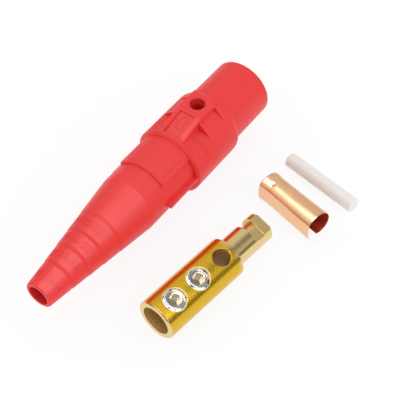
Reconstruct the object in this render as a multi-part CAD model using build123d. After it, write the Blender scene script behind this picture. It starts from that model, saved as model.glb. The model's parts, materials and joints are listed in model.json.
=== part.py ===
from build123d import *
import math
import os

# Single-pole cam-lock plug for power cable, taken apart and laid out on a floor.
# Lengths are millimetres, angles are degrees, +Z is up and the floor is z = 0.
# Every piece is drawn with its own axis on +X, then it is moved to where it lies.

# insulating sleeve, stations along its axis from the tail face
SLEEVE_LENGTH = 171.3
TAIL_LIP_RADIUS = 7.7
TAIL_BORE_RADIUS = 5.6
CABLE_BORE_RADIUS = 9.5
CABLE_BORE_TAPER_END = 46.6
# each tail segment: start, radius there, end, radius there
TAIL_SEGMENTS = [
    (1.4, 7.75, 13.6, 9.20),
    (15.7, 9.62, 24.4, 10.64),
    (26.5, 11.10, 34.1, 11.94),
    (36.1, 12.40, 45.4, 13.51),
    (47.5, 13.90, 68.4, 16.56),
]
TAIL_GROOVE_DEPTH = 0.45
TAIL_EDGE = 0.3
BODY_RADIUS = 16.7
COLLAR_START = 102.5
COLLAR_CHAMFER = 1.4
COLLAR_END = 136.7
COLLAR_RADIUS = 19.79
SHOULDER_RADIUS = 4.77
SHOULDER_END = 141.0
NOSE_ROOT_RADIUS = 17.09
NOSE_RADIUS = 17.02
NOSE_RIM_ROUND = 0.8
NOSE_SOCKET_RADIUS = 13.75
CONTACT_SEAT = 85.0
CONTACT_POCKET_RADIUS = 11.15
CONTACT_POCKET_END = 136.8

# pin bosses on the top and bottom of the collar
BOSS_HEIGHT = 22.2
BOSS_HALF_WIDTH = 7.53
BOSS_INSIDE = 14.3
BOSS_CORNER = 0.45
# each section of the boss: station, height at the recess, height at the side
BOSS_SECTIONS = [
    (103.9, 18.8, 17.7),
    (121.0, BOSS_HEIGHT, BOSS_HEIGHT),
    (136.0, BOSS_HEIGHT, BOSS_HEIGHT),
    (139.7, 16.89, 16.89),
]
# the recess has a sloping floor: station and height at each end
RECESS_REAR = (105.4, 17.76)
RECESS_FRONT = (120.3, 21.2)
RECESS_HALF_WIDTH = 4.7
PIN_HOLE_X = 128.54
PIN_HOLE_RADIUS = 4.05
PIN_COUNTERBORE_RADIUS = 4.25
PIN_COUNTERBORE_DEPTH = 3.2
GUSSET_TOP = (7.5, 20.2)
GUSSET_FOOT = (14.6, 13.4)
GUSSET_INSIDE = (12.5, 12.5)
MID_GUSSET_X = (119.6, 120.6)
FRONT_GUSSET_X = (133.3, 137.2)
# hollows of the collar beside the boss: ends and height of the floor at each end
HOLLOWS = [
    (104.6, 16.8, 119.6, 15.4),
    (120.6, 18.0, 133.3, 18.0),
]
HOLLOW_ANGLE = 47.5
HOLLOW_REACH = 24.0

# side rails and label panel behind the collar
RAIL_START = 79.8
RAIL_HALF_SPAN = 19.05
RAIL_BOTTOM = -1.3
RAIL_TOP = 0.7
PANEL_START = 80.5
PANEL_RADIUS = 18.0
PANEL_HALF_ANGLE = 51.0
PANEL_ROUND = 0.6

# outlined arrows moulded on the collar
ARROW_LINE = 0.45
ARROW_RAISE = 0.25
PUSH_ARROW = [
    (110.5, -1.9),
    (115.3, -1.9),
    (115.3, -2.85),
    (119.4, 0.0),
    (115.3, 2.85),
    (115.3, 1.9),
    (110.5, 1.9),
]
TURN_ARROW_X = 113.0
TURN_ARROW_ANGLE = 47.25
TURN_ARROW = [
    (-0.95, 5.70),
    (-0.95, -0.25),
    (-1.95, -0.60),
    (0.0, -5.70),
    (1.95, -0.60),
    (0.95, -0.25),
    (0.95, 5.70),
]

# brass contact, stations along its axis from the mouth of its cable barrel
BARREL_RADIUS = 11.0
BARREL_LENGTH = 51.7
BARREL_CHAMFER = 0.5
CABLE_HOLE_RADIUS = 8.0
CABLE_HOLE_DEPTH = 36.5
CONTACT_PIN_RADIUS = 8.05
CONTACT_LENGTH = 77.3
CONTACT_PIN_CHAMFER = 0.7
HOLE_TILT = 17.0
SCREW_HOLE_RADIUS = 6.0
SCREW_STATIONS = (10.4, 26.75)
CROSS_HOLE_X = 43.5
CROSS_HOLE_RADIUS = 4.75
HOLE_RIM = 0.45
CAM_TILT = 15.9
CAM_START = 65.4
CAM_LAND_END = 67.6
CAM_HEAD_START = 72.0
CAM_FLAT_HEIGHT = 6.0
CAM_POCKET_HEIGHT = 5.7
CAM_STEP = 0.9
# the cam's floor: a cylinder off the axis, to the right of it and below it
CAM_FLOOR_RADIUS = 8.05
CAM_FLOOR_RIGHT = 0.93
CAM_FLOOR_DOWN = 2.26

# set screws, heights from the contact's axis
SCREW_RADIUS = 5.95
SCREW_TOP = 9.8
SCREW_BOTTOM = 2.8
SCREW_RIM = 1.1
SCREW_EDGE = 0.35
SOCKET_FLATS = 6.0
SOCKET_DEPTH = 4.0

# copper foil: middle line of its section, right and up as seen along its axis
FOIL_SECTION = [
    (0.8, -6.9),
    (-2.3, -7.6),
    (-5.2, -6.5),
    (-7.3, -3.9),
    (-8.0, -0.9),
    (-7.6, 1.6),
    (-6.5, 4.0),
    (-5.0, 5.8),
    (-3.0, 7.2),
    (-0.3, 8.0),
    (2.2, 8.0),
    (4.9, 7.1),
    (6.9, 5.6),
    (7.6, 3.6),
    (7.6, -0.3),
    (7.2, -4.9),
    (6.1, -7.5),
]
FOIL_THICKNESS = 0.2
FOIL_STEPS = 48
# each section of the foil: station behind its mouth, scale of the section
FOIL_SECTIONS = [
    (0.0, 0.98),
    (30.5, 0.905),
    (33.9, 0.92),
    (36.7, 0.955),
]

# retaining pin
PIN_RADIUS = 4.0
PIN_LENGTH = 45.8
PIN_CHAMFER = 0.4

# where the pieces lie: place of the station x = 0 of each piece and its heading
SLEEVE_PLACE = (0.0, 0.0, BOSS_HEIGHT, 0.0)
CONTACT_PLACE = (26.89, -48.91, BARREL_RADIUS, -6.671)
FOIL_PLACE = (123.9, -80.09, 7.585, -102.726)
FOIL_TILT = -0.31
PIN_PLACE = (156.11, -42.274, PIN_RADIUS, -100.07)


def radial_plane(x, angle):
    """Plane at station x on the axis, facing away from it, turned from up to the right."""
    a = math.radians(angle)
    return Plane(origin=(x, 0, 0), x_dir=(1, 0, 0), z_dir=(0, -math.sin(a), math.cos(a)))


def turned(points):
    """Solid of revolution about +X from (station, radius) points."""
    face = make_face(Polyline(*points, close=True))
    return revolve(face, Axis.X, 360)


def ring_sector(x0, x1, r0, r1, half_angle):
    """Part of a tube about +X, centred on the top."""
    face = make_face(Polyline((x0, r0), (x1, r0), (x1, r1), (x0, r1), close=True))
    return revolve(Rot(90 - half_angle, 0, 0) * face, Axis.X, 2 * half_angle)


def outlined(points, line):
    """Face that follows the edge of a polygon, one line width wide."""
    face = make_face(Polyline(*points, close=True))
    return face - offset(face, -line, kind=Kind.INTERSECTION)


def sleeve_outside():
    """Turned outside of the sleeve: tail, body, collar, shoulder and nose."""
    steps = [(0, 0), (0, TAIL_LIP_RADIUS - 0.8), (0.4, TAIL_LIP_RADIUS - 0.2)]
    for number, (x0, r0, x1, r1) in enumerate(TAIL_SEGMENTS):
        if number > 0:
            steps.append((x0 - TAIL_EDGE, r0 - TAIL_EDGE / 4))
        steps.append((x0, r0))
        steps.append((x1, r1))
        if number < len(TAIL_SEGMENTS) - 1:
            steps.append((x1 + 0.4, r1 - TAIL_GROOVE_DEPTH))
    steps.append((COLLAR_START, BODY_RADIUS))
    steps.append((COLLAR_START + 0.1, COLLAR_RADIUS - 1.3))
    steps.append((COLLAR_START + COLLAR_CHAMFER, COLLAR_RADIUS))
    steps.append((COLLAR_END, COLLAR_RADIUS))
    for angle in (13, 26, 39, 52):
        a = math.radians(angle)
        x = COLLAR_END + SHOULDER_RADIUS * math.sin(a)
        steps.append((x, COLLAR_RADIUS - SHOULDER_RADIUS * (1 - math.cos(a))))
    steps.append((SHOULDER_END, NOSE_ROOT_RADIUS))
    rim = NOSE_RIM_ROUND
    for angle in (0, 30, 60, 90):
        a = math.radians(angle)
        x = SLEEVE_LENGTH - rim + rim * math.sin(a)
        steps.append((x, NOSE_RADIUS - rim + rim * math.cos(a)))
    steps.append((SLEEVE_LENGTH, 0))
    return turned(steps)


def sleeve_inside():
    """Room inside the sleeve: cable bore, contact pocket and nose socket."""
    return turned([
        (-1, 0),
        (-1, TAIL_BORE_RADIUS),
        (0, TAIL_BORE_RADIUS),
        (CABLE_BORE_TAPER_END, CABLE_BORE_RADIUS),
        (CONTACT_SEAT, CABLE_BORE_RADIUS),
        (CONTACT_SEAT, CONTACT_POCKET_RADIUS),
        (CONTACT_POCKET_END, CONTACT_POCKET_RADIUS),
        (CONTACT_POCKET_END, NOSE_SOCKET_RADIUS),
        (SLEEVE_LENGTH + 1, NOSE_SOCKET_RADIUS),
        (SLEEVE_LENGTH + 1, 0),
    ])


def recess(lift):
    """Room over the sloping floor of the boss's recess, with the floor lifted."""
    (x0, z0), (x1, z1) = RECESS_REAR, RECESS_FRONT
    top = 2 * BOSS_HEIGHT
    side = make_face(Plane.XZ * Polyline((x0, z0 + lift), (x1, z1 + lift), (x1, top), (x0, top), close=True))
    return extrude(side, RECESS_HALF_WIDTH, both=True)


def boss_face(station, height, side_height):
    """Section of the boss across the sleeve's axis, with its upper corners broken."""
    w = BOSS_HALF_WIDTH
    c = BOSS_CORNER
    one = [(w, BOSS_INSIDE), (w, side_height - c), (w - c, side_height), (RECESS_HALF_WIDTH, height)]
    two = [(-y, z) for y, z in reversed(one)]
    return make_face(Plane.YZ.offset(station) * Polyline(*one, *two, close=True))


def boss():
    """Boss on the top of the collar, with its ramps and gussets."""
    block = loft([boss_face(*section) for section in BOSS_SECTIONS], ruled=True)
    one = [GUSSET_INSIDE, GUSSET_FOOT, GUSSET_TOP]
    two = [(-y, z) for y, z in reversed(one)]
    web = Polyline(*one, *two, close=True)
    for start, end in (MID_GUSSET_X, FRONT_GUSSET_X):
        block += extrude(make_face(Plane.YZ.offset(start) * web), end - start)
    return block


def hollow(number, lift):
    """Room over the floor of one hollow on the right of the boss, with the floor lifted."""
    x0, z0, x1, z1 = HOLLOWS[number]
    a = math.radians(HOLLOW_ANGLE)
    w = BOSS_HALF_WIDTH
    faces = []
    for x, z in ((x0, z0), (x1, z1)):
        points = [(1 - w, z + lift), (-w, z + lift)]
        for reach in (COLLAR_RADIUS + lift, HOLLOW_REACH):
            points.append((-reach * math.sin(a), reach * math.cos(a)))
        points.append((1 - w, HOLLOW_REACH))
        faces.append(make_face(Plane.YZ.offset(x) * Polyline(*points, close=True)))
    return loft(faces, ruled=True)


def pin_holes():
    """Hole for the retaining pin through both bosses, with a counterbore at each end."""
    hole = Pos(PIN_HOLE_X, 0, 0) * Cylinder(PIN_HOLE_RADIUS, 3 * BOSS_HEIGHT)
    shift = BOSS_HEIGHT - PIN_COUNTERBORE_DEPTH / 2
    for z in (shift, -shift):
        hole += Pos(PIN_HOLE_X, 0, z) * Cylinder(PIN_COUNTERBORE_RADIUS, PIN_COUNTERBORE_DEPTH)
    return hole


def label_panel():
    """Raised bare panel on the top of the body."""
    panel = ring_sector(PANEL_START, COLLAR_START + 0.6, BODY_RADIUS - 1, PANEL_RADIUS, PANEL_HALF_ANGLE)
    outer = panel.edges().filter_by(lambda e: math.hypot(e.center().Y, e.center().Z) > PANEL_RADIUS - 1)
    outer = outer.filter_by(lambda e: e.center().X < COLLAR_START)
    rims = outer.filter_by(lambda e: math.hypot((e @ 0.5).Y, (e @ 0.5).Z) > PANEL_RADIUS - 0.01)
    return chamfer(rims, PANEL_ROUND)


def push_arrow():
    """Outlined arrow on the floor of the top recess, pointing at the nose."""
    bar = extrude(outlined(PUSH_ARROW, ARROW_LINE), 2 * BOSS_HEIGHT)
    return bar & (recess(-ARROW_RAISE) - recess(ARROW_RAISE))


def turn_arrow():
    """Outlined arrow that runs out of the rear hollow and round the right of the collar."""
    plane = radial_plane(TURN_ARROW_X, TURN_ARROW_ANGLE)
    bar = extrude(plane * outlined(TURN_ARROW, ARROW_LINE), 2 * COLLAR_RADIUS)
    skins = []
    for lift in (ARROW_RAISE, -ARROW_RAISE):
        skin = Cylinder(COLLAR_RADIUS + lift, COLLAR_RADIUS / 2)
        skins.append(Pos(TURN_ARROW_X, 0, 0) * Rot(0, 90, 0) * skin - hollow(0, lift))
    return bar & (skins[0] - skins[1])


def make_sleeve():
    """Moulded rubber sleeve with its tail face at x = 0."""
    body = sleeve_outside()
    for turn in (0, 180):
        for number in range(len(HOLLOWS)):
            right = hollow(number, 0)
            body -= Rot(turn, 0, 0) * right
            body -= Rot(turn, 0, 0) * mirror(right, Plane.XZ)
        body += Rot(turn, 0, 0) * boss()
        body -= Rot(turn, 0, 0) * recess(0)
    rail_length = COLLAR_START + 1 - RAIL_START
    body += Pos(RAIL_START + rail_length / 2, 0, (RAIL_TOP + RAIL_BOTTOM) / 2) * Box(
        rail_length,
        2 * RAIL_HALF_SPAN,
        RAIL_TOP - RAIL_BOTTOM,
    )
    body += label_panel()
    body -= sleeve_inside()
    body -= pin_holes()
    body += push_arrow()
    body += turn_arrow()
    return body


def cam_cuts():
    """Flat, shallow pocket and cam floor at the tip of the contact's pin."""
    reach = 2 * CONTACT_PIN_RADIUS
    turn = Rot(CAM_TILT, 0, 0)
    low_left = (Align.MIN, Align.MIN, Align.MIN)
    low_right = (Align.MIN, Align.MAX, Align.MIN)
    tip = CONTACT_LENGTH + 1 - CAM_HEAD_START
    width = CAM_HEAD_START - CAM_START
    flat = Pos(CAM_HEAD_START, -reach, CAM_FLAT_HEIGHT) * Box(tip, 2 * reach, reach, align=low_left)
    flat += Pos(CAM_START, CAM_STEP, CAM_FLAT_HEIGHT) * Box(width, reach, reach, align=low_right)
    length = CAM_HEAD_START - CAM_LAND_END
    flat += Pos(CAM_LAND_END, CAM_STEP, CAM_POCKET_HEIGHT) * Box(length, reach, reach, align=low_right)
    side = Pos(CAM_START, CAM_STEP, -reach) * Box(width, reach, 2 * reach, align=low_left)
    core = Cylinder(CAM_FLOOR_RADIUS, 2 * width)
    core = Pos(CAM_START + width / 2, -CAM_FLOOR_RIGHT, -CAM_FLOOR_DOWN) * Rot(0, 90, 0) * core
    return turn * flat + (turn * side - core)


def rimmed_hole(radius, length):
    """Round hole outwards from the axis, with its rim broken where it leaves the barrel."""
    above = (Align.CENTER, Align.CENTER, Align.MIN)
    rim = Cone(radius, radius + 2 * HOLE_RIM, 2 * HOLE_RIM, align=above)
    return Cylinder(radius, length, align=above) + Pos(0, 0, BARREL_RADIUS - HOLE_RIM) * rim


def make_contact():
    """Turned brass contact with the mouth of its cable barrel at x = 0."""
    c = BARREL_CHAMFER
    t = CONTACT_PIN_CHAMFER
    body = turned([
        (0, 0),
        (0, BARREL_RADIUS - c),
        (c, BARREL_RADIUS),
        (BARREL_LENGTH - c, BARREL_RADIUS),
        (BARREL_LENGTH, BARREL_RADIUS - c),
        (BARREL_LENGTH, CONTACT_PIN_RADIUS),
        (CONTACT_LENGTH - t, CONTACT_PIN_RADIUS),
        (CONTACT_LENGTH, CONTACT_PIN_RADIUS - t),
        (CONTACT_LENGTH, 0),
    ])
    body -= turned([
        (-1, 0),
        (-1, CABLE_HOLE_RADIUS),
        (CABLE_HOLE_DEPTH, CABLE_HOLE_RADIUS),
        (CABLE_HOLE_DEPTH, 0),
    ])
    for station in SCREW_STATIONS:
        body -= radial_plane(station, HOLE_TILT) * rimmed_hole(SCREW_HOLE_RADIUS, 2 * BARREL_RADIUS)
    for turn in (0, 180):
        hole = rimmed_hole(CROSS_HOLE_RADIUS, 2 * BARREL_RADIUS)
        body -= radial_plane(CROSS_HOLE_X, HOLE_TILT + turn) * hole
    return body - cam_cuts()


def make_screw(station):
    """Socket set screw in its hole of the contact's barrel."""
    c = SCREW_RIM
    e = SCREW_EDGE
    low = SCREW_BOTTOM
    top = SCREW_TOP
    face = make_face(Plane.XZ * Polyline(
        (0, low),
        (SCREW_RADIUS, low),
        (SCREW_RADIUS, top - c),
        (SCREW_RADIUS - e, top - e),
        (SCREW_RADIUS - c, top),
        (0, top),
        close=True,
    ))
    screw = revolve(face, Axis.Z, 360)
    socket = RegularPolygon(SOCKET_FLATS / 2, 6, major_radius=False)
    screw -= extrude(Pos(0, 0, top - SOCKET_DEPTH) * socket, SOCKET_DEPTH + 1)
    return radial_plane(station, HOLE_TILT) * screw


def foil_face(station, scale):
    """Section of the foil across its axis, at a station behind its mouth."""
    middle = Spline(*FOIL_SECTION)
    outside = []
    inside = []
    for step in range(FOIL_STEPS + 1):
        at = step / FOIL_STEPS
        tangent = middle % at
        half = Vector(-tangent.Y, tangent.X) * (FOIL_THICKNESS / 2)
        outside.append(middle @ at * scale + half)
        inside.append(middle @ at * scale - half)
    section = make_face(Polyline(*outside, *reversed(inside), close=True))
    return Plane(origin=(-station, 0, 0), x_dir=(0, -1, 0), z_dir=(-1, 0, 0)) * section


def make_foil():
    """Rolled copper foil with its mouth at x = 0 and its flared end behind it."""
    foil = loft([foil_face(*section) for section in FOIL_SECTIONS], ruled=True)
    return Rot(0, FOIL_TILT, 0) * foil


def make_pin():
    """Retaining pin with one end at x = 0."""
    c = PIN_CHAMFER
    return turned([
        (0, 0),
        (0, PIN_RADIUS - c),
        (c, PIN_RADIUS),
        (PIN_LENGTH - c, PIN_RADIUS),
        (PIN_LENGTH, PIN_RADIUS - c),
        (PIN_LENGTH, 0),
    ])


def placed(shape, place):
    """Shape moved from its own axis to where it lies."""
    x, y, z, heading = place
    return Pos(x, y, z) * Rot(0, 0, heading) * shape


def main():
    """Build every piece, centre the row on the origin and write one file each."""
    pieces = {
        "insulating_sleeve": placed(make_sleeve(), SLEEVE_PLACE),
        "brass_contact": placed(make_contact(), CONTACT_PLACE),
        "set_screw_rear": placed(make_screw(SCREW_STATIONS[0]), CONTACT_PLACE),
        "set_screw_front": placed(make_screw(SCREW_STATIONS[1]), CONTACT_PLACE),
        "copper_foil": placed(make_foil(), FOIL_PLACE),
        "retaining_pin": placed(make_pin(), PIN_PLACE),
    }
    box = Compound(children=list(pieces.values())).bounding_box()
    middle = box.center()
    os.makedirs("parts", exist_ok=True)
    for name, shape in pieces.items():
        moved = Pos(-middle.X, -middle.Y, -box.min.Z) * shape
        part = moved.solid() if len(moved.solids()) == 1 else moved
        export_step(part, f"parts/{name}.step")
        size = part.bounding_box().size
        print(name, len(part.solids()), round(part.volume, 1), [round(v, 2) for v in size])
    print("row shift", -middle.X, -middle.Y, -box.min.Z)


main()
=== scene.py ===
"""Cam-lock plug, taken apart and laid out on a white floor."""

import json
import math

import bmesh
import bpy
from mathutils import Matrix, Vector, noise


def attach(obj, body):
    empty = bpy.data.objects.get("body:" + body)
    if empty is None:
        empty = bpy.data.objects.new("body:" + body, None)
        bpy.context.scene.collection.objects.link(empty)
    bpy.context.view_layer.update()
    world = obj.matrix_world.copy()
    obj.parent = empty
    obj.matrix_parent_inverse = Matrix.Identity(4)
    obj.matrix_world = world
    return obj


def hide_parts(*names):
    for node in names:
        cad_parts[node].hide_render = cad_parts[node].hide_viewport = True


bl_info = {
    "name": "Cam-Lock Plug",
    "version": (1, 0, 0),
    "blender": (4, 5, 0),
    "location": "View3D > Sidebar > Plug",
    "description": "Finishes, moulded marks, foil and studio for a cam-lock plug taken apart",
    "category": "Object",
}

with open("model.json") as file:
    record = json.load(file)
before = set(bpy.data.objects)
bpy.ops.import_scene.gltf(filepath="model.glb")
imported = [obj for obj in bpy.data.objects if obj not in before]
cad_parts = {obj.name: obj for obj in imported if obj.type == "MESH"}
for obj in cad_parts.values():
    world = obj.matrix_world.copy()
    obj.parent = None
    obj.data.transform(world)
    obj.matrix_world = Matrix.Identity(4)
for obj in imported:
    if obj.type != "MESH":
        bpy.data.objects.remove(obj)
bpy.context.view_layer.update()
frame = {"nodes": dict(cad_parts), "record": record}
MOUNTS = {mount["name"]: mount for mount in frame["record"]["mounts"]}

MM = 0.001

# where the pieces lie on the floor, in metres, and which way they point
SLEEVE_TAIL = Vector((-0.08565, 0.034104, 0.0222))
CONTACT_MOUTH = Vector(MOUNTS["wire_bore"]["pos_m"])
CONTACT_AHEAD = -Vector(MOUNTS["wire_bore"]["axis"])
REAR_SCREW = Vector(MOUNTS["rear_screw_socket"]["pos_m"])
FRONT_SCREW = Vector(MOUNTS["front_screw_socket"]["pos_m"])
SCREW_LEAN = Vector(MOUNTS["rear_screw_socket"]["axis"])
FOIL_MOUTH = Vector((0.03825, -0.045986, 0.007585))
FOIL_HEADING = math.radians(-102.726)
FOIL_TILT = math.radians(-0.31)
ROD_HEADING = math.radians(-100.07)

# sizes of the contact and its screws in millimetres, stations from the barrel's mouth
BARREL_RADIUS = 11.0
BARREL_LENGTH = 51.7
CABLE_HOLE_RADIUS = 8.0
CABLE_HOLE_DEPTH = 36.5
CONTACT_PIN_RADIUS = 8.05
CAM_START = 65.4
CROSS_HOLE = 43.5
CROSS_HOLE_RADIUS = 4.75
SCREW_HOLE_RADIUS = 6.0
SCREW_RADIUS = 5.95
THREAD_PITCH = 1.75


class Socket:
    """An output socket of a finish, for shader maths in plain expressions."""

    def __init__(self, finish, output):
        self.finish = finish
        self.output = output

    def maths(self, operation, *values):
        """Any other operation, with its values in the order of the node."""
        return self.finish.add("ShaderNodeMath", {"operation": operation}, values)

    def __add__(self, other):
        return self.maths("ADD", self, other)

    def __radd__(self, other):
        return self.maths("ADD", other, self)

    def __sub__(self, other):
        return self.maths("SUBTRACT", self, other)

    def __rsub__(self, other):
        return self.maths("SUBTRACT", other, self)

    def __mul__(self, other):
        return self.maths("MULTIPLY", self, other)

    def __rmul__(self, other):
        return self.maths("MULTIPLY", other, self)

    def __truediv__(self, other):
        return self.maths("DIVIDE", self, other)


class Finish:
    """A node material while it is being built."""

    def __init__(self, name, world=None):
        owner = world or bpy.data.materials.new(name)
        owner.use_nodes = True
        self.owner = owner
        self.tree = owner.node_tree
        self.tree.nodes.clear()
        kind = "ShaderNodeOutputWorld" if world else "ShaderNodeOutputMaterial"
        self.end = self.tree.nodes.new(kind)

    def feed(self, socket, value):
        """Links a socket to another one, or sets its value."""
        if isinstance(value, Socket):
            self.tree.links.new(value.output, socket)
        else:
            socket.default_value = value

    def add(self, kind, settings=None, values=(), output=0):
        """New node: its settings first, then its sockets; gives one of its outputs."""
        node = self.tree.nodes.new(kind)
        for name, setting in (settings or {}).items():
            if name == "stops":
                while len(node.color_ramp.elements) < len(setting):
                    node.color_ramp.elements.new(1.0)
                for element, (place, colour) in zip(node.color_ramp.elements, setting):
                    element.position = place
                    element.color = (*colour, 1.0)
            else:
                setattr(node, name, setting)
        pairs = values.items() if isinstance(values, dict) else enumerate(values)
        for key, value in pairs:
            self.feed(node.inputs[key], value)
        return Socket(self, node.outputs[output])

    def place(self):
        """Where the point is on the piece itself."""
        return self.add("ShaderNodeTexCoord", output="Object")

    def vector(self, operation, *values, output=0):
        """Vector maths; output 1 is the number of a dot product or a length."""
        return self.add("ShaderNodeVectorMath", {"operation": operation}, values, output)

    def mix(self, factor, one, two):
        """Colour that goes from one to two as the factor goes from 0 to 1."""
        settings = {"data_type": "RGBA"}
        return self.add("ShaderNodeMix", settings, {0: factor, 6: one, 7: two}, 2)

    def rise(self, value, low, high):
        """0 below low, 1 above high, smooth between them."""
        settings = {"interpolation_type": "SMOOTHSTEP"}
        return self.add("ShaderNodeMapRange", settings, (value, low, high, 0.0, 1.0))

    def band(self, value, low, high, soft):
        """1 between low and high, with soft ends."""
        fall = 1.0 - self.rise(value, high - soft, high + soft)
        return self.rise(value, low - soft, low + soft) * fall

    def noise(self, point, scale, detail=2.0, rough=0.5, stretch=None):
        """Noise from 0 to 1; the scale is in cells per metre."""
        if stretch:
            point = self.vector("MULTIPLY", point, stretch)
        values = {"Vector": point, "Scale": scale, "Detail": detail, "Roughness": rough}
        return self.add("ShaderNodeTexNoise", None, values)

    def bump(self, height, distance, strength=1.0, normal=None):
        """Normal that follows a height; the distance is that of a height of 1."""
        values = {"Strength": strength, "Distance": distance, "Height": height}
        if normal:
            values["Normal"] = normal
        return self.add("ShaderNodeBump", None, values)

    def soft_edges(self, radius):
        """Normal that rounds sharp edges."""
        return self.add("ShaderNodeBevel", {"samples": 6}, {"Radius": radius})

    def surface(self, **values):
        """Ends the finish in a Principled surface and returns the material."""
        named = {}
        for key, value in values.items():
            named[key.replace("_", " ").title().replace("Ior", "IOR")] = value
        shader = self.add("ShaderNodeBsdfPrincipled", None, named)
        self.feed(self.end.inputs["Surface"], shader)
        return self.owner


def along_and_out(finish, origin, axis):
    """Distance along an axis and away from it, in millimetres."""
    offset = finish.vector("SUBTRACT", finish.place(), tuple(origin))
    along = finish.vector("DOT_PRODUCT", offset, tuple(axis), output=1)
    cross = finish.vector("CROSS_PRODUCT", offset, tuple(axis))
    out = finish.vector("LENGTH", cross, output=1)
    return along / MM, out / MM


def out_from_screws(finish):
    """Distance from the axis of the nearest set screw, in millimetres."""
    rear = along_and_out(finish, REAR_SCREW, SCREW_LEAN)[1]
    front = along_and_out(finish, FRONT_SCREW, SCREW_LEAN)[1]
    return rear.maths("MINIMUM", rear, front)


def rgb(colour, share=1.0):
    """Colour for a socket; a share below 1 makes it darker."""
    return (*(value * share for value in colour), 1.0)


def red_rubber(settings):
    """Moulded rubber: satin, with fine grain, soft edges and faint flow marks, and a deeper red of painted
    shade in grooves and corners.
    """
    f = Finish("red_rubber")
    point = f.place()
    flow = f.noise(point, 45.0, 3.0, 0.55, (0.35, 1.0, 1.0))
    grain = f.noise(point, 5200.0, 2.0)
    dust = f.noise(point, 900.0, 4.0, 0.7)
    base = f.mix(flow, rgb(settings.colour, 0.94), rgb(settings.colour))
    # painted shade: the colour goes to a deeper red where ambient occlusion finds grooves and corners
    open_air = f.add("ShaderNodeAmbientOcclusion", {"samples": 8}, {"Distance": 5.0 * MM}, "AO")
    painted_shade_mask = f.rise(1.0 - open_air, 0.3, 0.9)
    edges = f.soft_edges(settings.edge_round)
    normal = f.bump(grain, settings.grain_depth, 0.6, edges)
    return f.surface(
        base_color=f.mix(painted_shade_mask, base, rgb(settings.painted_recess_shade)),
        roughness=settings.roughness + (dust - 0.5) * 0.12,
        specular_ior_level=0.37,
        sheen_weight=settings.sheen,
        sheen_roughness=0.45,
        sheen_tint=(1.0, 0.62, 0.72, 1.0),
        normal=normal,
    )


def contact_brass(settings):
    """Gold lacquer on the barrel, bare machined brass on the ends, pin and cam; painted shade darkens the
    bore and the cross hole, and a painted highlight pales the screw hole walls.
    """
    f = Finish("lacquered_brass")
    along, out = along_and_out(f, CONTACT_MOUTH, CONTACT_AHEAD)
    up, off = along_and_out(f, CONTACT_MOUTH + CONTACT_AHEAD * CROSS_HOLE * MM, SCREW_LEAN)
    lacquer = f.band(out, BARREL_RADIUS - 0.25, BARREL_RADIUS + 1.0, 0.1)
    lacquer = lacquer * f.rise(along, 0.4, 0.6)
    lacquer = lacquer * (1.0 - f.rise(along, BARREL_LENGTH - 3.1, BARREL_LENGTH - 0.5))
    # masks of the bore and the cross hole, which get painted shade, and of the screw hole walls, which get
    # a painted highlight; all of them get less metal and more roughness
    bore = 1.0 - f.rise(out, CABLE_HOLE_RADIUS + 0.3, CABLE_HOLE_RADIUS + 0.5)
    bore = bore * f.band(along, 0.3, CABLE_HOLE_DEPTH + 3.5, 0.2)
    hole = 1.0 - f.rise(off, CROSS_HOLE_RADIUS + 0.1, CROSS_HOLE_RADIUS + 0.3)
    hole = hole * (1.0 - f.rise(up, BARREL_RADIUS - 1.4, BARREL_RADIUS - 0.6))
    painted_wall_highlight = 1.0 - f.rise(out_from_screws(f), SCREW_HOLE_RADIUS + 0.1, SCREW_HOLE_RADIUS + 0.4)
    painted_wall_highlight = painted_wall_highlight * f.rise(out, CABLE_HOLE_RADIUS + 0.3, CABLE_HOLE_RADIUS + 0.6)
    painted_wall_highlight = painted_wall_highlight * f.rise(up, 0.0, 1.0)
    flats = f.rise(along, CAM_START - 0.2, CAM_START)
    flats = flats * (1.0 - f.rise(out, CONTACT_PIN_RADIUS - 0.25, CONTACT_PIN_RADIUS - 0.05))
    rings = f.add("ShaderNodeTexNoise", {"noise_dimensions": "1D"}, {"W": along, "Scale": 2.5})
    stain = f.noise(f.place(), 160.0, 3.0)
    bare = f.mix(rings, rgb(settings.bare), rgb(settings.bare_dark))
    gold = f.mix(stain, rgb(settings.lacquer), rgb(settings.lacquer_dark))
    # painted shade: duller, darker brass in the bore and the cross hole; painted highlight: paler cut
    # brass on the screw hole walls
    inner = f.mix(rings, rgb(settings.inner), rgb(settings.inner, 0.6))
    inner = f.mix(painted_wall_highlight, f.mix(hole, inner, rgb(settings.hole)), rgb(settings.painted_wall_highlight))
    inside = painted_wall_highlight.maths("MAXIMUM", painted_wall_highlight, bore.maths("MAXIMUM", bore, hole))
    normal = f.bump(rings, settings.turning_depth, 1.0, f.soft_edges(0.15 * MM))
    bare = f.mix(flats * 0.8, bare, rgb(settings.bare_dark))
    return f.surface(
        base_color=f.mix(inside, f.mix(lacquer, bare, gold), inner),
        metallic=1.0 - inside * 0.7,
        roughness=settings.roughness + lacquer * 0.04 + stain * 0.05 + inside * 0.3 + flats * 0.1,
        normal=normal,
    )


def screw_thread(finish):
    """Thread of the set screws, 0 at its root and 1 at its crest."""
    up = along_and_out(finish, CONTACT_MOUTH, SCREW_LEAN)[0]
    forward = along_and_out(finish, REAR_SCREW, CONTACT_AHEAD)[0]
    aside = along_and_out(finish, REAR_SCREW, SCREW_LEAN.cross(CONTACT_AHEAD))[0]
    half = (FRONT_SCREW - REAR_SCREW).length / MM / 2
    forward = forward.maths("WRAP", forward, half, -half)
    turn = aside.maths("ARCTAN2", aside, forward) / (2 * math.pi)
    phase = up / THREAD_PITCH + turn
    return phase.maths("PINGPONG", phase, 0.5) * 2.0


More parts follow.
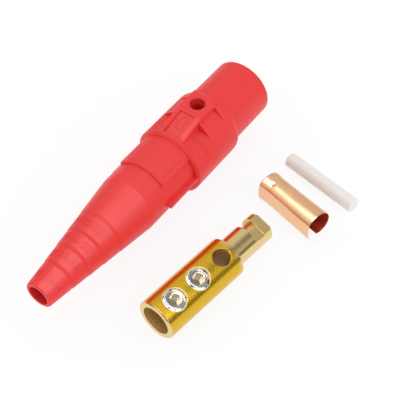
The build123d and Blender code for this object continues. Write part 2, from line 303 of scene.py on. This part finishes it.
def screw_steel(settings):
    """Bright plated steel: dull and darkened by painted shade in the socket, marked at the rim, threaded
    outside.
    """
    f = Finish("bright_steel")
    off = out_from_screws(f)
    # painted shade: the hex socket is darker as well as duller
    socket = 1.0 - f.rise(off, 3.2, 3.5)
    rim = f.band(off, 4.7, 6.2, 0.2)
    turned = f.add("ShaderNodeTexNoise", {"noise_dimensions": "1D"}, {"W": off, "Scale": 1.6})
    stain = f.noise(f.place(), 700.0, 3.0)
    marks = f.rise(f.noise(f.place(), 420.0, 1.0), 0.56, 0.66) * rim
    plain = f.mix(stain, rgb(settings.colour), rgb(settings.colour, 0.85))
    base = f.mix(socket, f.mix(marks, plain, rgb(settings.marks)), rgb(settings.socket))
    normal = f.bump(turned * (1.0 - socket), 0.1 * MM, 1.0, f.soft_edges(0.12 * MM))
    thread = screw_thread(f) * f.rise(off, SCREW_RADIUS - 0.06, SCREW_RADIUS - 0.02)
    return f.surface(
        base_color=base,
        metallic=1.0,
        roughness=settings.roughness + stain * 0.05 + socket * 0.12,
        normal=f.bump(thread, settings.thread_depth, 1.0, normal),
    )


def shaded_copper(settings):
    """Painted shade: darker, redder copper inside the roll."""
    f = Finish("copper_inside")
    rubs = f.noise(f.place(), 160.0, 2.0)
    return f.surface(
        base_color=f.mix(rubs, rgb(settings.inside), rgb(settings.inside, 0.7)),
        metallic=0.5,
        roughness=0.45 + rubs * 0.1,
    )


def turned_point(finish, angle):
    """Where the point is on the piece itself, with +X along the piece's heading."""
    values = {"Vector": finish.place(), "Angle": -angle}
    return finish.add("ShaderNodeVectorRotate", {"rotation_type": "Z_AXIS"}, values)


def rolled_copper(settings):
    """Bright copper foil with fine rolling lines and a few rubbed streaks."""
    f = Finish("copper")
    lines = f.noise(turned_point(f, FOIL_HEADING), 700.0, 3.0, 0.6, (0.04, 1.0, 1.0))
    rubs = f.noise(f.place(), 120.0, 4.0, 0.6)
    base = f.mix(rubs, rgb(settings.colour), rgb(settings.rubbed))
    return f.surface(
        base_color=base,
        metallic=1.0,
        roughness=settings.roughness + lines * 0.10,
        normal=f.bump(lines, 0.004 * MM, 0.3),
    )


def nylon(settings):
    """Off-white nylon, a little see-into, with fine drawn lines along the rod."""
    f = Finish("nylon")
    drawn = f.noise(turned_point(f, ROD_HEADING), 900.0, 3.0, 0.5, (0.03, 1.0, 1.0))
    cloud = f.noise(f.place(), 90.0, 3.0)
    base = f.mix(cloud, rgb(settings.colour), rgb(settings.colour, 0.93))
    return f.surface(
        base_color=base,
        roughness=settings.roughness + drawn * 0.1,
        specular_ior_level=0.4,
        subsurface_weight=0.15,
        subsurface_radius=(1.0, 0.9, 0.8),
        subsurface_scale=1.5 * MM,
        normal=f.bump(drawn, 0.02 * MM, 0.4, f.soft_edges(0.2 * MM)),
    )


class SleeveSettings(bpy.types.PropertyGroup):
    """Rubber of the sleeve and the marks moulded on it."""

    colour: bpy.props.FloatVectorProperty(
        name="Colour", description="Colour of the rubber", subtype="COLOR", size=3,
        min=0, max=1, default=(0.78, 0.030, 0.030),
    )
    # painted shade: deeper red for grooves and corners, laid on by ambient occlusion
    painted_recess_shade: bpy.props.FloatVectorProperty(
        name="Painted Recess Shade", description="Painted shade: deeper red in the grooves and corners", subtype="COLOR",
        size=3, min=0, max=1, default=(0.60, 0.006, 0.006),
    )
    roughness: bpy.props.FloatProperty(
        name="Roughness", description="How dull the rubber is", subtype="FACTOR",
        min=0, max=1, default=0.42,
    )
    sheen: bpy.props.FloatProperty(
        name="Bloom", description="Pale bloom at grazing angles", subtype="FACTOR",
        min=0, max=1, default=0.02,
    )
    grain_depth: bpy.props.FloatProperty(
        name="Grain Depth", description="Depth of the fine grain", subtype="DISTANCE",
        unit="LENGTH", min=0, default=0.02 * MM,
    )
    edge_round: bpy.props.FloatProperty(
        name="Edge Rounding", description="Radius that softens the moulded edges",
        subtype="DISTANCE", unit="LENGTH", min=0, default=0.12 * MM,
    )
    digit_height: bpy.props.FloatProperty(
        name="Digit Height", description="Height of the size marks on the tail",
        subtype="DISTANCE", unit="LENGTH", min=0, default=4.2 * MM,
    )
    mark_raise: bpy.props.FloatProperty(
        name="Mark Raise", description="How far moulded marks stand out",
        subtype="DISTANCE", unit="LENGTH", min=0, default=0.16 * MM,
    )


class ContactSettings(bpy.types.PropertyGroup):
    """Brass of the contact."""

    lacquer: bpy.props.FloatVectorProperty(
        name="Lacquer", description="Colour of the gold lacquer", subtype="COLOR", size=3,
        min=0, max=1, default=(0.80, 0.52, 0.036),
    )
    lacquer_dark: bpy.props.FloatVectorProperty(
        name="Lacquer Shade", description="Darker patches of the lacquer", subtype="COLOR",
        size=3, min=0, max=1, default=(0.68, 0.40, 0.03),
    )
    bare: bpy.props.FloatVectorProperty(
        name="Bare Brass", description="Colour of the machined brass", subtype="COLOR",
        size=3, min=0, max=1, default=(0.88, 0.68, 0.32),
    )
    bare_dark: bpy.props.FloatVectorProperty(
        name="Bare Brass Shade", description="Darker turning lines", subtype="COLOR",
        size=3, min=0, max=1, default=(0.74, 0.54, 0.23),
    )
    # painted shade: duller, darker brass in the bore and the holes
    inner: bpy.props.FloatVectorProperty(
        name="Painted Inner Shade", description="Duller brass darkened by painted shade in the bore and the holes", subtype="COLOR",
        size=3, min=0, max=1, default=(0.70, 0.42, 0.11),
    )
    # painted shade: dark brown brass in the cross hole
    hole: bpy.props.FloatVectorProperty(
        name="Painted Cross Hole Shade", description="Dull brass darkened by painted shade in the cross hole", subtype="COLOR", size=3,
        min=0, max=1, default=(0.42, 0.20, 0.012),
    )
    # painted highlight: cut brass made near-white on the screw hole walls
    painted_wall_highlight: bpy.props.FloatVectorProperty(
        name="Painted Screw Hole Highlight", description="Cut brass made paler by a painted highlight round the screws", subtype="COLOR",
        size=3, min=0, max=1, default=(0.95, 0.80, 0.46),
    )
    roughness: bpy.props.FloatProperty(
        name="Roughness", description="How dull the bare brass is", subtype="FACTOR",
        min=0, max=1, default=0.17,
    )
    turning_depth: bpy.props.FloatProperty(
        name="Turning Depth", description="Depth of the turning lines", subtype="DISTANCE",
        unit="LENGTH", min=0, default=0.015 * MM,
    )


class ScrewSettings(bpy.types.PropertyGroup):
    """Steel of the set screws."""

    colour: bpy.props.FloatVectorProperty(
        name="Colour", description="Colour of the plated steel", subtype="COLOR", size=3,
        min=0, max=1, default=(0.93, 0.91, 0.88),
    )
    # painted shade: darker steel in the hex socket, with more roughness as well
    socket: bpy.props.FloatVectorProperty(
        name="Socket", description="Duller steel darkened by painted shade in the hex socket", subtype="COLOR", size=3,
        min=0, max=1, default=(0.44, 0.38, 0.29),
    )
    marks: bpy.props.FloatVectorProperty(
        name="Marks", description="Dark marks at the rim", subtype="COLOR", size=3,
        min=0, max=1, default=(0.16, 0.15, 0.14),
    )
    roughness: bpy.props.FloatProperty(
        name="Roughness", description="How dull the steel is", subtype="FACTOR",
        min=0, max=1, default=0.05,
    )
    thread_depth: bpy.props.FloatProperty(
        name="Thread Depth", description="Depth of the thread on the screws", subtype="DISTANCE",
        unit="LENGTH", min=0, default=0.6 * MM,
    )


class FoilSettings(bpy.types.PropertyGroup):
    """Sizes and copper of the foil."""

    thickness: bpy.props.FloatProperty(
        name="Thickness", description="Thickness of the foil", subtype="DISTANCE",
        unit="LENGTH", min=0.01 * MM, default=0.2 * MM,
    )
    length: bpy.props.FloatProperty(
        name="Length", description="Length with the flare", subtype="DISTANCE",
        unit="LENGTH", min=1 * MM, default=36.7 * MM,
    )
    flare: bpy.props.FloatProperty(
        name="Flare", description="Length of the flared end", subtype="DISTANCE",
        unit="LENGTH", min=0, default=6.2 * MM,
    )
    dents: bpy.props.FloatProperty(
        name="Dents", description="Depth of the soft dents", subtype="DISTANCE",
        unit="LENGTH", min=0, default=0.05 * MM,
    )
    colour: bpy.props.FloatVectorProperty(
        name="Colour", description="Colour of the bright copper", subtype="COLOR", size=3,
        min=0, max=1, default=(0.95, 0.60, 0.36),
    )
    rubbed: bpy.props.FloatVectorProperty(
        name="Rubbed Colour", description="Colour of the rubbed streaks", subtype="COLOR",
        size=3, min=0, max=1, default=(0.86, 0.46, 0.24),
    )
    # painted shade: darker, redder copper for the inner side of the roll
    inside: bpy.props.FloatVectorProperty(
        name="Inside", description="Copper darkened by painted shade inside the roll", subtype="COLOR", size=3,
        min=0, max=1, default=(0.52, 0.05, 0.012),
    )
    roughness: bpy.props.FloatProperty(
        name="Roughness", description="How dull the copper is", subtype="FACTOR",
        min=0, max=1, default=0.24,
    )


class PinSettings(bpy.types.PropertyGroup):
    """Nylon of the retaining pin."""

    colour: bpy.props.FloatVectorProperty(
        name="Colour", description="Colour of the nylon", subtype="COLOR", size=3,
        min=0, max=1, default=(0.80, 0.785, 0.755),
    )
    roughness: bpy.props.FloatProperty(
        name="Roughness", description="How dull the nylon is", subtype="FACTOR",
        min=0, max=1, default=0.45,
    )


class StageSettings(bpy.types.PropertyGroup):
    """Floor, lamps, room and camera."""

    sky: bpy.props.FloatProperty(
        name="Room Light", description="Strength of the even light from all round",
        min=0, default=0.97,
    )
    floor_glow: bpy.props.FloatProperty(
        name="Floor Glow", description="How far the floor is plain white to the eye",
        subtype="FACTOR", min=0, max=1, default=0.86,
    )
    key_shine: bpy.props.FloatProperty(
        name="Key Lamp", description="Brightness of the ceiling lamp that gloss shows",
        min=0, default=4.8,
    )
    fill_shine: bpy.props.FloatProperty(
        name="Fill Lamps", description="Brightness of the soft lamps on both sides",
        min=0, default=1.4,
    )
    gloss_room: bpy.props.FloatProperty(
        name="Gloss Room", description="How bright the room is that gloss shows",
        min=0, default=1.0,
    )
    focal_length: bpy.props.FloatProperty(
        name="Focal Length", description="Camera lens", unit="CAMERA", min=1, default=96.76,
    )


def finished_mesh(work, name, smooth=False):
    """Mesh of a finished work mesh, which is freed; smooth rounds the look of all its faces."""
    mesh = bpy.data.meshes.new(name)
    work.to_mesh(mesh)
    work.free()
    if smooth:
        for face in mesh.polygons:
            face.use_smooth = True
    return mesh


def linked(name, data):
    """New object in the scene."""
    piece = bpy.data.objects.new(name, data)
    bpy.context.scene.collection.objects.link(piece)
    return piece


def owned_mesh(name, mesh, material):
    """Object for a finished mesh, riding on the layout."""
    piece = linked(name, mesh)
    piece.data.materials.clear()
    piece.data.materials.append(material)
    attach(piece, "layout")
    return piece


def finish_node(node, material):
    """Gives a CAD node its material."""
    piece = frame["nodes"][node]
    for slot in piece.material_slots:
        slot.material = material


TAIL_MARKS = (
    # text, station of the digits' foot, radius there, how much the radius grows along the tail
    ("10-14", 5.2, 8.20, 0.1189),
    ("14-18", 18.0, 9.89, 0.1172),
    ("16-20", 28.2, 11.29, 0.1105),
    ("20-28", 38.8, 12.72, 0.1194),
)
MARKS_START = math.radians(-44)
FONT_SIZE_OF_DIGIT = 1.38
LONG_EDGE = 0.8 * MM
RING_STEPS = 20


def round_sleeve(station, angle, out):
    """Point of the sleeve: station along it, angle from up to the right, distance out."""
    return SLEEVE_TAIL + Vector((station, -out * math.sin(angle), out * math.cos(angle)))


def wrap_round_tail(work, start, station, radius, slope):
    """Lays a flat mark on the tail, its tops to the nose."""
    for vertex in work.verts:
        x, y, z = vertex.co
        vertex.co = round_sleeve(station + y, start + x / radius, radius + slope * y + z)


def size_digits(text, height, raise_by):
    """Flat raised digits as a work mesh, cut finely enough to be bent."""
    curve = bpy.data.curves.new("size_mark", "FONT")
    curve.body = text
    curve.size = height * FONT_SIZE_OF_DIGIT
    curve.extrude = raise_by
    curve.resolution_u = 3
    curve.offset = -0.006 * height
    flat = linked("size_mark", curve)
    bpy.context.view_layer.update()
    mesh = bpy.data.meshes.new_from_object(flat.evaluated_get(bpy.context.evaluated_depsgraph_get()))
    bpy.data.objects.remove(flat)
    work = bmesh.new()
    work.from_mesh(mesh)
    long_edges = [edge for edge in work.edges if edge.calc_length() > LONG_EDGE]
    bmesh.ops.subdivide_edges(work, edges=long_edges, cuts=2)
    bmesh.ops.triangulate(work, faces=work.faces)
    return work


def diameter_sign(height, raise_by):
    """Flat raised ring with a stroke through it, as a work mesh."""
    work = bmesh.new()
    wide = height * 0.36
    line = height * 0.07
    middle = Vector((wide, height * 0.5, 0))
    loops = []
    for out, z in (
        (wide + line, 0.0),
        (wide + line, raise_by),
        (wide - line, raise_by),
        (wide - line, 0.0),
    ):
        loop = []
        for step in range(RING_STEPS):
            angle = 2 * math.pi * step / RING_STEPS
            place = Vector((out * math.cos(angle), out * math.sin(angle), z))
            loop.append(work.verts.new(middle + place))
        loops.append(loop)
    for one, two in zip(loops, loops[1:]):
        for a, b, c, d in zip(one, one[1:] + one[:1], two[1:] + two[:1], two):
            work.faces.new((a, b, c, d))
    stroke = Vector((wide * 0.75, height * 0.62, 0))
    side = Vector((-stroke.y, stroke.x, 0)).normalized() * line
    corners = []
    for z in (0.0, raise_by):
        for end in (-1, 1):
            for flank in (-end, end):
                corners.append(work.verts.new(middle + stroke * end + side * flank + Vector((0, 0, z))))
    bmesh.ops.convex_hull(work, input=corners)
    return work


def size_marks(height, raise_by):
    """Diameter signs and sizes on the segments of the tail, as one mesh."""
    marks = bmesh.new()
    for text, station, radius, slope in TAIL_MARKS:
        radius *= MM
        station *= MM
        starts = (MARKS_START, MARKS_START + height / radius)
        works = (diameter_sign(height, raise_by), size_digits(text, height, raise_by))
        for start, work in zip(starts, works):
            wrap_round_tail(work, start, station, radius, slope)
            marks.from_mesh(finished_mesh(work, "mark"))
    return finished_mesh(marks, "size_marks")


PANEL_RADIUS = 18.0 * MM
PANEL_LINE_ENDS = (83.4 * MM, 101.0 * MM)
PANEL_LINE_HALF_ANGLE = math.radians(39.6)
PANEL_LINE_CORNER = 1.0 * MM
PANEL_LINE_HALF_WIDTH = 0.22 * MM
PANEL_LINE_STEP = 1.2 * MM
# across the line in half widths, and height over the panel in millimetres
PANEL_LINE_PROFILE = ((-1.0, -0.05), (-0.6, 0.14), (0.0, 0.17), (0.6, 0.14), (1.0, -0.05))


def panel_path():
    """Points round the panel, unrolled flat: an even rectangle with round corners."""
    corner = PANEL_LINE_CORNER
    rear, front = PANEL_LINE_ENDS
    width = PANEL_LINE_HALF_ANGLE * PANEL_RADIUS
    path = []
    for x, y, turn in (
        (front - corner, width - corner, 0),
        (rear + corner, width - corner, 90),
        (rear + corner, corner - width, 180),
        (front - corner, corner - width, 270),
    ):
        for step in range(5):
            angle = math.radians(turn + 22.5 * step)
            path.append(Vector((x + corner * math.cos(angle), y + corner * math.sin(angle))))
    points = []
    for one, two in zip(path, path[1:] + path[:1]):
        cuts = max(1, int((two - one).length / PANEL_LINE_STEP))
        for step in range(cuts):
            points.append(one.lerp(two, step / cuts))
    return points


def panel_line():
    """Fine raised line round the bare label panel."""
    work = bmesh.new()
    points = panel_path()
    rings = []
    for last, point, following in zip(points[-1:] + points, points, points[1:] + points[:1]):
        ahead = following - last
        side = Vector((-ahead.y, ahead.x)).normalized() * PANEL_LINE_HALF_WIDTH
        ring = []
        for across, up in PANEL_LINE_PROFILE:
            x, y = point + side * across
            ring.append(work.verts.new(round_sleeve(x, y / PANEL_RADIUS, PANEL_RADIUS + up * MM)))
        rings.append(ring)
    for one, two in zip(rings, rings[1:] + rings[:1]):
        for a, b, c, d in zip(one, one[1:], two[1:], two):
            work.faces.new((a, b, c, d))
    bmesh.ops.recalc_face_normals(work, faces=work.faces)
    return finished_mesh(work, "panel_line", smooth=True)


# middle line of the foil's section in millimetres, right and up as seen along its axis
FOIL_SECTION = (
    (0.8, -6.9), (-2.3, -7.6), (-5.2, -6.5), (-7.3, -3.9), (-8.0, -0.9), (-7.6, 1.6),
    (-6.5, 4.0), (-5.0, 5.8), (-3.0, 7.2), (-0.3, 8.0), (2.2, 8.0), (4.9, 7.1),
    (6.9, 5.6), (7.6, 3.6), (7.6, -0.3), (7.2, -4.9), (6.1, -7.5),
)
FOIL_ROWS = 74
FOIL_COLUMNS = 120
SPLINE_STEPS = 12
MOUTH_SCALE = 0.98
WAIST_NARROWING = 0.075
FLARE_OPENING = 0.05
DIMPLE_PLACE = Vector((-31.0, 3.0))
DIMPLE_SIZE = Vector((1.0, 1.3))
DIMPLE_DEPTH = 0.45


def smooth_section(points, count):
    """Points evenly spread on a smooth line through the given ones."""
    padded = [
        tuple(2 * a - b for a, b in zip(points[0], points[1])),
        *points,
        tuple(2 * a - b for a, b in zip(points[-1], points[-2])),
    ]
    fine = []
    for p0, p1, p2, p3 in zip(padded, padded[1:], padded[2:], padded[3:]):
        for step in range(SPLINE_STEPS):
            t = step / SPLINE_STEPS
            place = []
            for a, b, c, d in zip(p0, p1, p2, p3):
                bend = (2 * a - 5 * b + 4 * c - d) * t ** 2
                twist = (3 * b - a - 3 * c + d) * t ** 3
                place.append(0.5 * (2 * b + (c - a) * t + bend + twist))
            fine.append(Vector(place))
    fine.append(Vector(points[-1]))
    lengths = [0.0]
    for one, two in zip(fine, fine[1:]):
        lengths.append(lengths[-1] + (two - one).length)
    spread = []
    at = 0
    for i in range(count):
        goal = lengths[-1] * i / (count - 1)
        while at < len(lengths) - 2 and lengths[at + 1] < goal:
            at += 1
        part = (goal - lengths[at]) / (lengths[at + 1] - lengths[at])
        spread.append(fine[at].lerp(fine[at + 1], part))
    return spread


def foil_dent(settings, x, y, z, column):
    """How far a point of the foil stands out, in millimetres: soft dents and one dimple."""
    neck = (settings.length - settings.flare) / MM
    soft = noise.noise(Vector((x * 0.09, y * 0.16, z * 0.16 + 3.7)))
    crease = noise.noise(Vector((x * 0.5 + 9.1, column * 0.05, 2.2)))
    near_neck = math.exp(-((x + neck) / 1.6) ** 2)
    depth = settings.dents / MM * (soft * 1.6 + crease * 1.5 * near_neck)
    if z > 0:
        from_dimple = Vector((x, y)) - DIMPLE_PLACE
        across = from_dimple.x / DIMPLE_SIZE.x
        along = from_dimple.y / DIMPLE_SIZE.y
        depth -= DIMPLE_DEPTH * math.exp(-across ** 2 - along ** 2)
    return depth


def foil_mesh(settings):
    """Rolled foil: open along its length, flared at the far end, softly dented."""
    section = smooth_section(FOIL_SECTION, FOIL_COLUMNS)
    length = settings.length / MM
    flare = settings.flare / MM
    neck = length - flare
    work = bmesh.new()
    grid = []
    for row in range(FOIL_ROWS + 1):
        x = -length * row / FOIL_ROWS
        opened = max(0.0, (-x - neck) / flare) if flare else 0.0
        scale = MOUTH_SCALE - WAIST_NARROWING * min(1.0, -x / neck) + FLARE_OPENING * opened ** 2
        ring = []
        for column, (y, z) in enumerate(section):
            out = Vector((0, y, z)).normalized()
            place = Vector((x, y * scale, z * scale)) + out * foil_dent(settings, x, y, z, column)
            ring.append(work.verts.new(place * MM))
        grid.append(ring)
    for one, two in zip(grid, grid[1:]):
        for a, b, c, d in zip(one, one[1:], two[1:], two):
            work.faces.new((a, b, c, d))
    bmesh.ops.recalc_face_normals(work, faces=work.faces)
    turn = Matrix.Rotation(FOIL_HEADING, 4, "Z") @ Matrix.Rotation(FOIL_TILT, 4, "Y")
    mirrored = Matrix.Scale(-1, 4, (0, 1, 0))
    place = Matrix.Translation(FOIL_MOUTH) @ turn @ mirrored
    bmesh.ops.transform(work, matrix=place, verts=work.verts)
    return finished_mesh(work, "foil", smooth=True)


class PLUG_OT_sleeve(bpy.types.Operator):
    """Gives the sleeve its rubber and adds the moulded marks"""

    bl_idname = "plug.sleeve"
    bl_label = "Insulating Sleeve"

    def execute(self, context):
        settings = context.scene.plug_sleeve
        rubber = red_rubber(settings)
        finish_node("insulating_sleeve", rubber)
        marks = size_marks(settings.digit_height, settings.mark_raise)
        owned_mesh("size_marks", marks, rubber)
        owned_mesh("panel_line", panel_line(), rubber)
        return {"FINISHED"}


class PLUG_OT_contact(bpy.types.Operator):
    """Gives the contact its gold lacquer and bare brass"""

    bl_idname = "plug.contact"
    bl_label = "Brass Contact"

    def execute(self, context):
        finish_node("brass_contact", contact_brass(context.scene.plug_contact))
        return {"FINISHED"}


class PLUG_OT_screws(bpy.types.Operator):
    """Gives both set screws their bright steel"""

    bl_idname = "plug.screws"
    bl_label = "Set Screws"

    def execute(self, context):
        steel = screw_steel(context.scene.plug_screws)
        for node in ("set_screw_rear", "set_screw_front"):
            finish_node(node, steel)
        return {"FINISHED"}


class PLUG_OT_foil(bpy.types.Operator):
    """Makes the rolled copper foil"""

    bl_idname = "plug.foil"
    bl_label = "Copper Foil"

    def execute(self, context):
        settings = context.scene.plug_foil
        copper = rolled_copper(settings)
        finish_node("copper_foil", copper)
        # painted shade: the roll's inner faces take the darker copper; the solidified outer faces and the
        # rim take the bright copper
        piece = owned_mesh("foil_sheet", foil_mesh(settings), shaded_copper(settings))
        piece.data.materials.append(copper)
        shell = piece.modifiers.new("thickness", "SOLIDIFY")
        shell.thickness = settings.thickness
        shell.offset = 0
        shell.material_offset = 1
        shell.material_offset_rim = 1
        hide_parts("copper_foil")
        return {"FINISHED"}


class PLUG_OT_pin(bpy.types.Operator):
    """Gives the retaining pin its nylon"""

    bl_idname = "plug.pin"
    bl_label = "Retaining Pin"

    def execute(self, context):
        finish_node("retaining_pin", nylon(context.scene.plug_pin))
        return {"FINISHED"}


def soft_lamp(name, shine, size, place):
    """Soft lamp that faces the middle line of the layout; shine is its white in a mirror."""
    wide, deep = size
    light = bpy.data.lights.new(name, "AREA")
    light.shape = "RECTANGLE"
    light.energy = shine * math.pi * wide * deep
    light.size = wide
    light.size_y = deep
    lamp = linked(name, light)
    lamp.location = place
    lamp.rotation_euler = Vector((0, -place[1], -place[2])).to_track_quat("-Z", "Y").to_euler()
    return lamp


WHITE = (1.0, 1.0, 1.0, 1.0)
FLOOR_SIZE = 3.0
FLOOR_PAPER = (0.95, 0.95, 0.95, 1.0)
KEY_SIZE = (0.5, 1.6)
KEY_PLACE = (-0.11, -0.27, 0.8)
FILL_SIZE = (0.62, 0.62)
# side of the sleeve, share of the fill lamps' brightness, place
FILL_LAMPS = (
    ("right", 1.0, (0.1, -0.8, 0.6)),
    ("left", 0.6, (-0.2, 0.9, 0.45)),
)
SENSOR_WIDTH = 36.0
CAMERA_PLACE = Vector((-0.27211, -0.194566, 0.44541))
CAMERA_AIM = Vector((0.0210, 0.016634, 0.0))
ROOM_STOPS = (
    # angle from straight up towards the right, and the room's colour there
    (-180, (0.85, 0.84, 0.82)),
    (-100, (0.85, 0.84, 0.82)),
    (-96, (0.05, 0.16, 0.17)),
    (-72, (0.05, 0.16, 0.17)),
    (-64, (0.74, 0.73, 0.71)),
    (-27, (0.76, 0.75, 0.73)),
    (-10, (0.70, 0.69, 0.67)),
    (2, (0.48, 0.47, 0.46)),
    (18, (0.18, 0.177, 0.17)),
    (33, (0.24, 0.236, 0.23)),
    (45, (0.40, 0.395, 0.38)),
    (57, (0.62, 0.61, 0.59)),
    (68, (0.34, 0.335, 0.33)),
    (78, (0.18, 0.177, 0.17)),
    (92, (0.20, 0.197, 0.19)),
    (180, (0.85, 0.84, 0.82)),
)


class PLUG_OT_stage(bpy.types.Operator):
    """Sets up the white floor, the soft lamps, the room and the camera"""

    bl_idname = "plug.stage"
    bl_label = "Stage"

    def execute(self, context):
        settings = context.scene.plug_stage
        self.floor(settings)
        self.room(context.scene, settings)
        key = soft_lamp("key_lamp", settings.key_shine, KEY_SIZE, KEY_PLACE)
        key.visible_diffuse = False
        for side, share, place in FILL_LAMPS:
            fill = soft_lamp("fill_lamp_" + side, settings.fill_shine * share, FILL_SIZE, place)
            fill.visible_glossy = False
        self.camera(context.scene, settings)
        context.scene.view_settings.view_transform = "Standard"
        return {"FINISHED"}

    def seen(self, f, *kinds):
        """1 for the named kinds of ray."""
        rays = [f.add("ShaderNodeLightPath", output=kind) for kind in kinds]
        total = rays[0]
        for ray in rays[1:]:
            total = total + ray
        return total.maths("MINIMUM", total, 1.0)

    def floor(self, settings):
        """White paper that is partly plain white to the eye and to gloss."""
        work = bmesh.new()
        bmesh.ops.create_grid(work, x_segments=1, y_segments=1, size=FLOOR_SIZE)
        floor = linked("floor", finished_mesh(work, "floor"))
        f = Finish("white_floor")
        paper = f.add("ShaderNodeBsdfDiffuse", None, {"Color": FLOOR_PAPER})
        glow = f.add("ShaderNodeEmission", None, {"Color": WHITE, "Strength": 1.0})
        share = self.seen(f, "Is Camera Ray", "Is Glossy Ray", "Is Transmission Ray") * settings.floor_glow
        f.feed(f.end.inputs["Surface"], f.add("ShaderNodeMixShader", None, (share, paper, glow)))
        floor.data.materials.append(f.owner)

    def room(self, scene, settings):
        """Even light for every surface; gloss shows a room with light and dark bands."""
        world = bpy.data.worlds.new("room")
        scene.world = world
        f = Finish("room", world)
        toward = f.add("ShaderNodeTexCoord", output="Generated")
        up = f.vector("DOT_PRODUCT", toward, (0, 0, 1), output=1)
        right = f.vector("DOT_PRODUCT", toward, (0, -1, 0), output=1)
        turn = right.maths("ARCTAN2", right, up) / (2 * math.pi) + 0.5
        stops = [(0.5 + angle / 360, colour) for angle, colour in ROOM_STOPS]
        shown = f.add("ShaderNodeValToRGB", {"stops": stops}, (turn,))
        even = f.add("ShaderNodeBackground", None, {"Color": WHITE, "Strength": settings.sky})
        gloss = f.add("ShaderNodeBackground", None, {"Color": shown, "Strength": settings.gloss_room})
        white = f.add("ShaderNodeBackground", None, {"Color": WHITE, "Strength": 1.0})
        lit = f.add("ShaderNodeMixShader", None, (self.seen(f, "Is Glossy Ray"), even, gloss))
        clear = self.seen(f, "Is Camera Ray", "Is Transmission Ray")
        f.feed(f.end.inputs["Surface"], f.add("ShaderNodeMixShader", None, (clear, lit, white)))

    def camera(self, scene, settings):
        """Camera that looks down on the layout from the sleeve's tail."""
        data = bpy.data.cameras.new("camera")
        data.sensor_width = SENSOR_WIDTH
        data.lens = settings.focal_length
        data.clip_start = 0.01
        camera = linked("camera", data)
        camera.location = CAMERA_PLACE
        camera.rotation_euler = (CAMERA_AIM - CAMERA_PLACE).to_track_quat("-Z", "Y").to_euler()
        scene.camera = camera


class PLUG_PT_panel(bpy.types.Panel):
    """Buttons for every piece and the stage"""

    bl_idname = "PLUG_PT_panel"
    bl_label = "Plug"
    bl_space_type = "VIEW_3D"
    bl_region_type = "UI"
    bl_category = "Plug"

    def draw(self, context):
        for name, operator in STEPS:
            box = self.layout.box()
            box.operator(operator.bl_idname)
            group = getattr(context.scene, name)
            for key in group.__annotations__:
                box.prop(group, key)


STEPS = (
    ("plug_stage", PLUG_OT_stage),
    ("plug_sleeve", PLUG_OT_sleeve),
    ("plug_contact", PLUG_OT_contact),
    ("plug_screws", PLUG_OT_screws),
    ("plug_foil", PLUG_OT_foil),
    ("plug_pin", PLUG_OT_pin),
)
GROUPS = {
    "plug_stage": StageSettings,
    "plug_sleeve": SleeveSettings,
    "plug_contact": ContactSettings,
    "plug_screws": ScrewSettings,
    "plug_foil": FoilSettings,
    "plug_pin": PinSettings,
}


def register():
    for name, group in GROUPS.items():
        bpy.utils.register_class(group)
        setattr(bpy.types.Scene, name, bpy.props.PointerProperty(type=group))
    for _, operator in STEPS:
        bpy.utils.register_class(operator)
    bpy.utils.register_class(PLUG_PT_panel)


def unregister():
    bpy.utils.unregister_class(PLUG_PT_panel)
    for name, operator in reversed(STEPS):
        bpy.utils.unregister_class(operator)
    for name, group in GROUPS.items():
        delattr(bpy.types.Scene, name)
        bpy.utils.unregister_class(group)


def main():
    """Registers everything, sets up the stage and makes every piece."""
    register()
    bpy.ops.plug.stage()
    bpy.ops.plug.sleeve()
    bpy.ops.plug.contact()
    bpy.ops.plug.screws()
    bpy.ops.plug.foil()
    bpy.ops.plug.pin()


if __name__ == "__main__":
    main()
